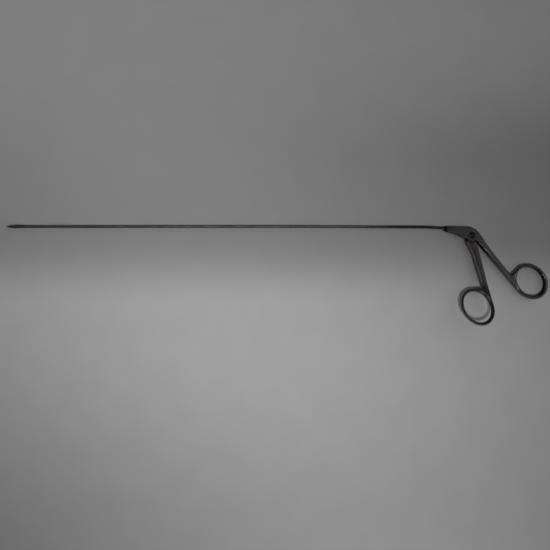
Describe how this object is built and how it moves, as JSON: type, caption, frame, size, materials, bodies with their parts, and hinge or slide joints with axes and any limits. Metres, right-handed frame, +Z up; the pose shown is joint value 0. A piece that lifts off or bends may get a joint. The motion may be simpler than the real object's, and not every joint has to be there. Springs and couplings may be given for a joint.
{
  "type": "bronchoscopic scissors",
  "caption": "Long thin-shafted surgical scissors worked by a finger-ring handle, with small blades at the tip of a bent tube.",
  "frame": {"origin": "middle of the bounding box at the height of the handle's flat underside", "axes": "+X along the shaft from the blades to the handle, +Y away from the finger rings, +Z up from the table"},
  "size_m": [0.4944, 0.091, 0.0163],
  "materials": {
    "satin_steel": "satin stainless steel, forged and ground",
    "drawn_steel": "drawn stainless steel tube and rod",
    "hardened_steel": "hardened steel, finely ground"
  },
  "bodies": {
    "handle": {"handle_frame": "satin_steel", "pivot_screw": "hardened_steel", "shaft_tube": "drawn_steel", "blade_holder": "hardened_steel", "blade_pivot_pin": "hardened_steel"},
    "lever": {"finger_lever": "satin_steel", "lever_link_pin": "hardened_steel"},
    "rod": {"drive_rod": "drawn_steel"},
    "upper_blade": {"moving_blade": "hardened_steel", "blade_drive_pin": "hardened_steel"}
  },
  "joints": [
    {"name": "lever_pivot", "type": "hinge", "parent": "handle", "child": "lever", "pos_m": [0.17696, 0.03577, 0.003], "axis": [0, 0, -1], "range_deg": [0, 11]},
    {"name": "rod_slide", "type": "slide", "parent": "handle", "child": "rod", "axis": [1, 0, 0], "range_m": [0, 0.00095]},
    {"name": "blade_pivot", "type": "hinge", "parent": "handle", "child": "upper_blade", "pos_m": [-0.23584, 0.04352, 0.003], "axis": [0, 0, -1], "range_deg": [0, 43.5]}
  ],
  "couplings": [
    {"joint": "rod_slide", "follows": "lever_pivot", "m_per_rad": 0.0049},
    {"joint": "blade_pivot", "follows": "lever_pivot", "ratio": 3.92}
  ]
}
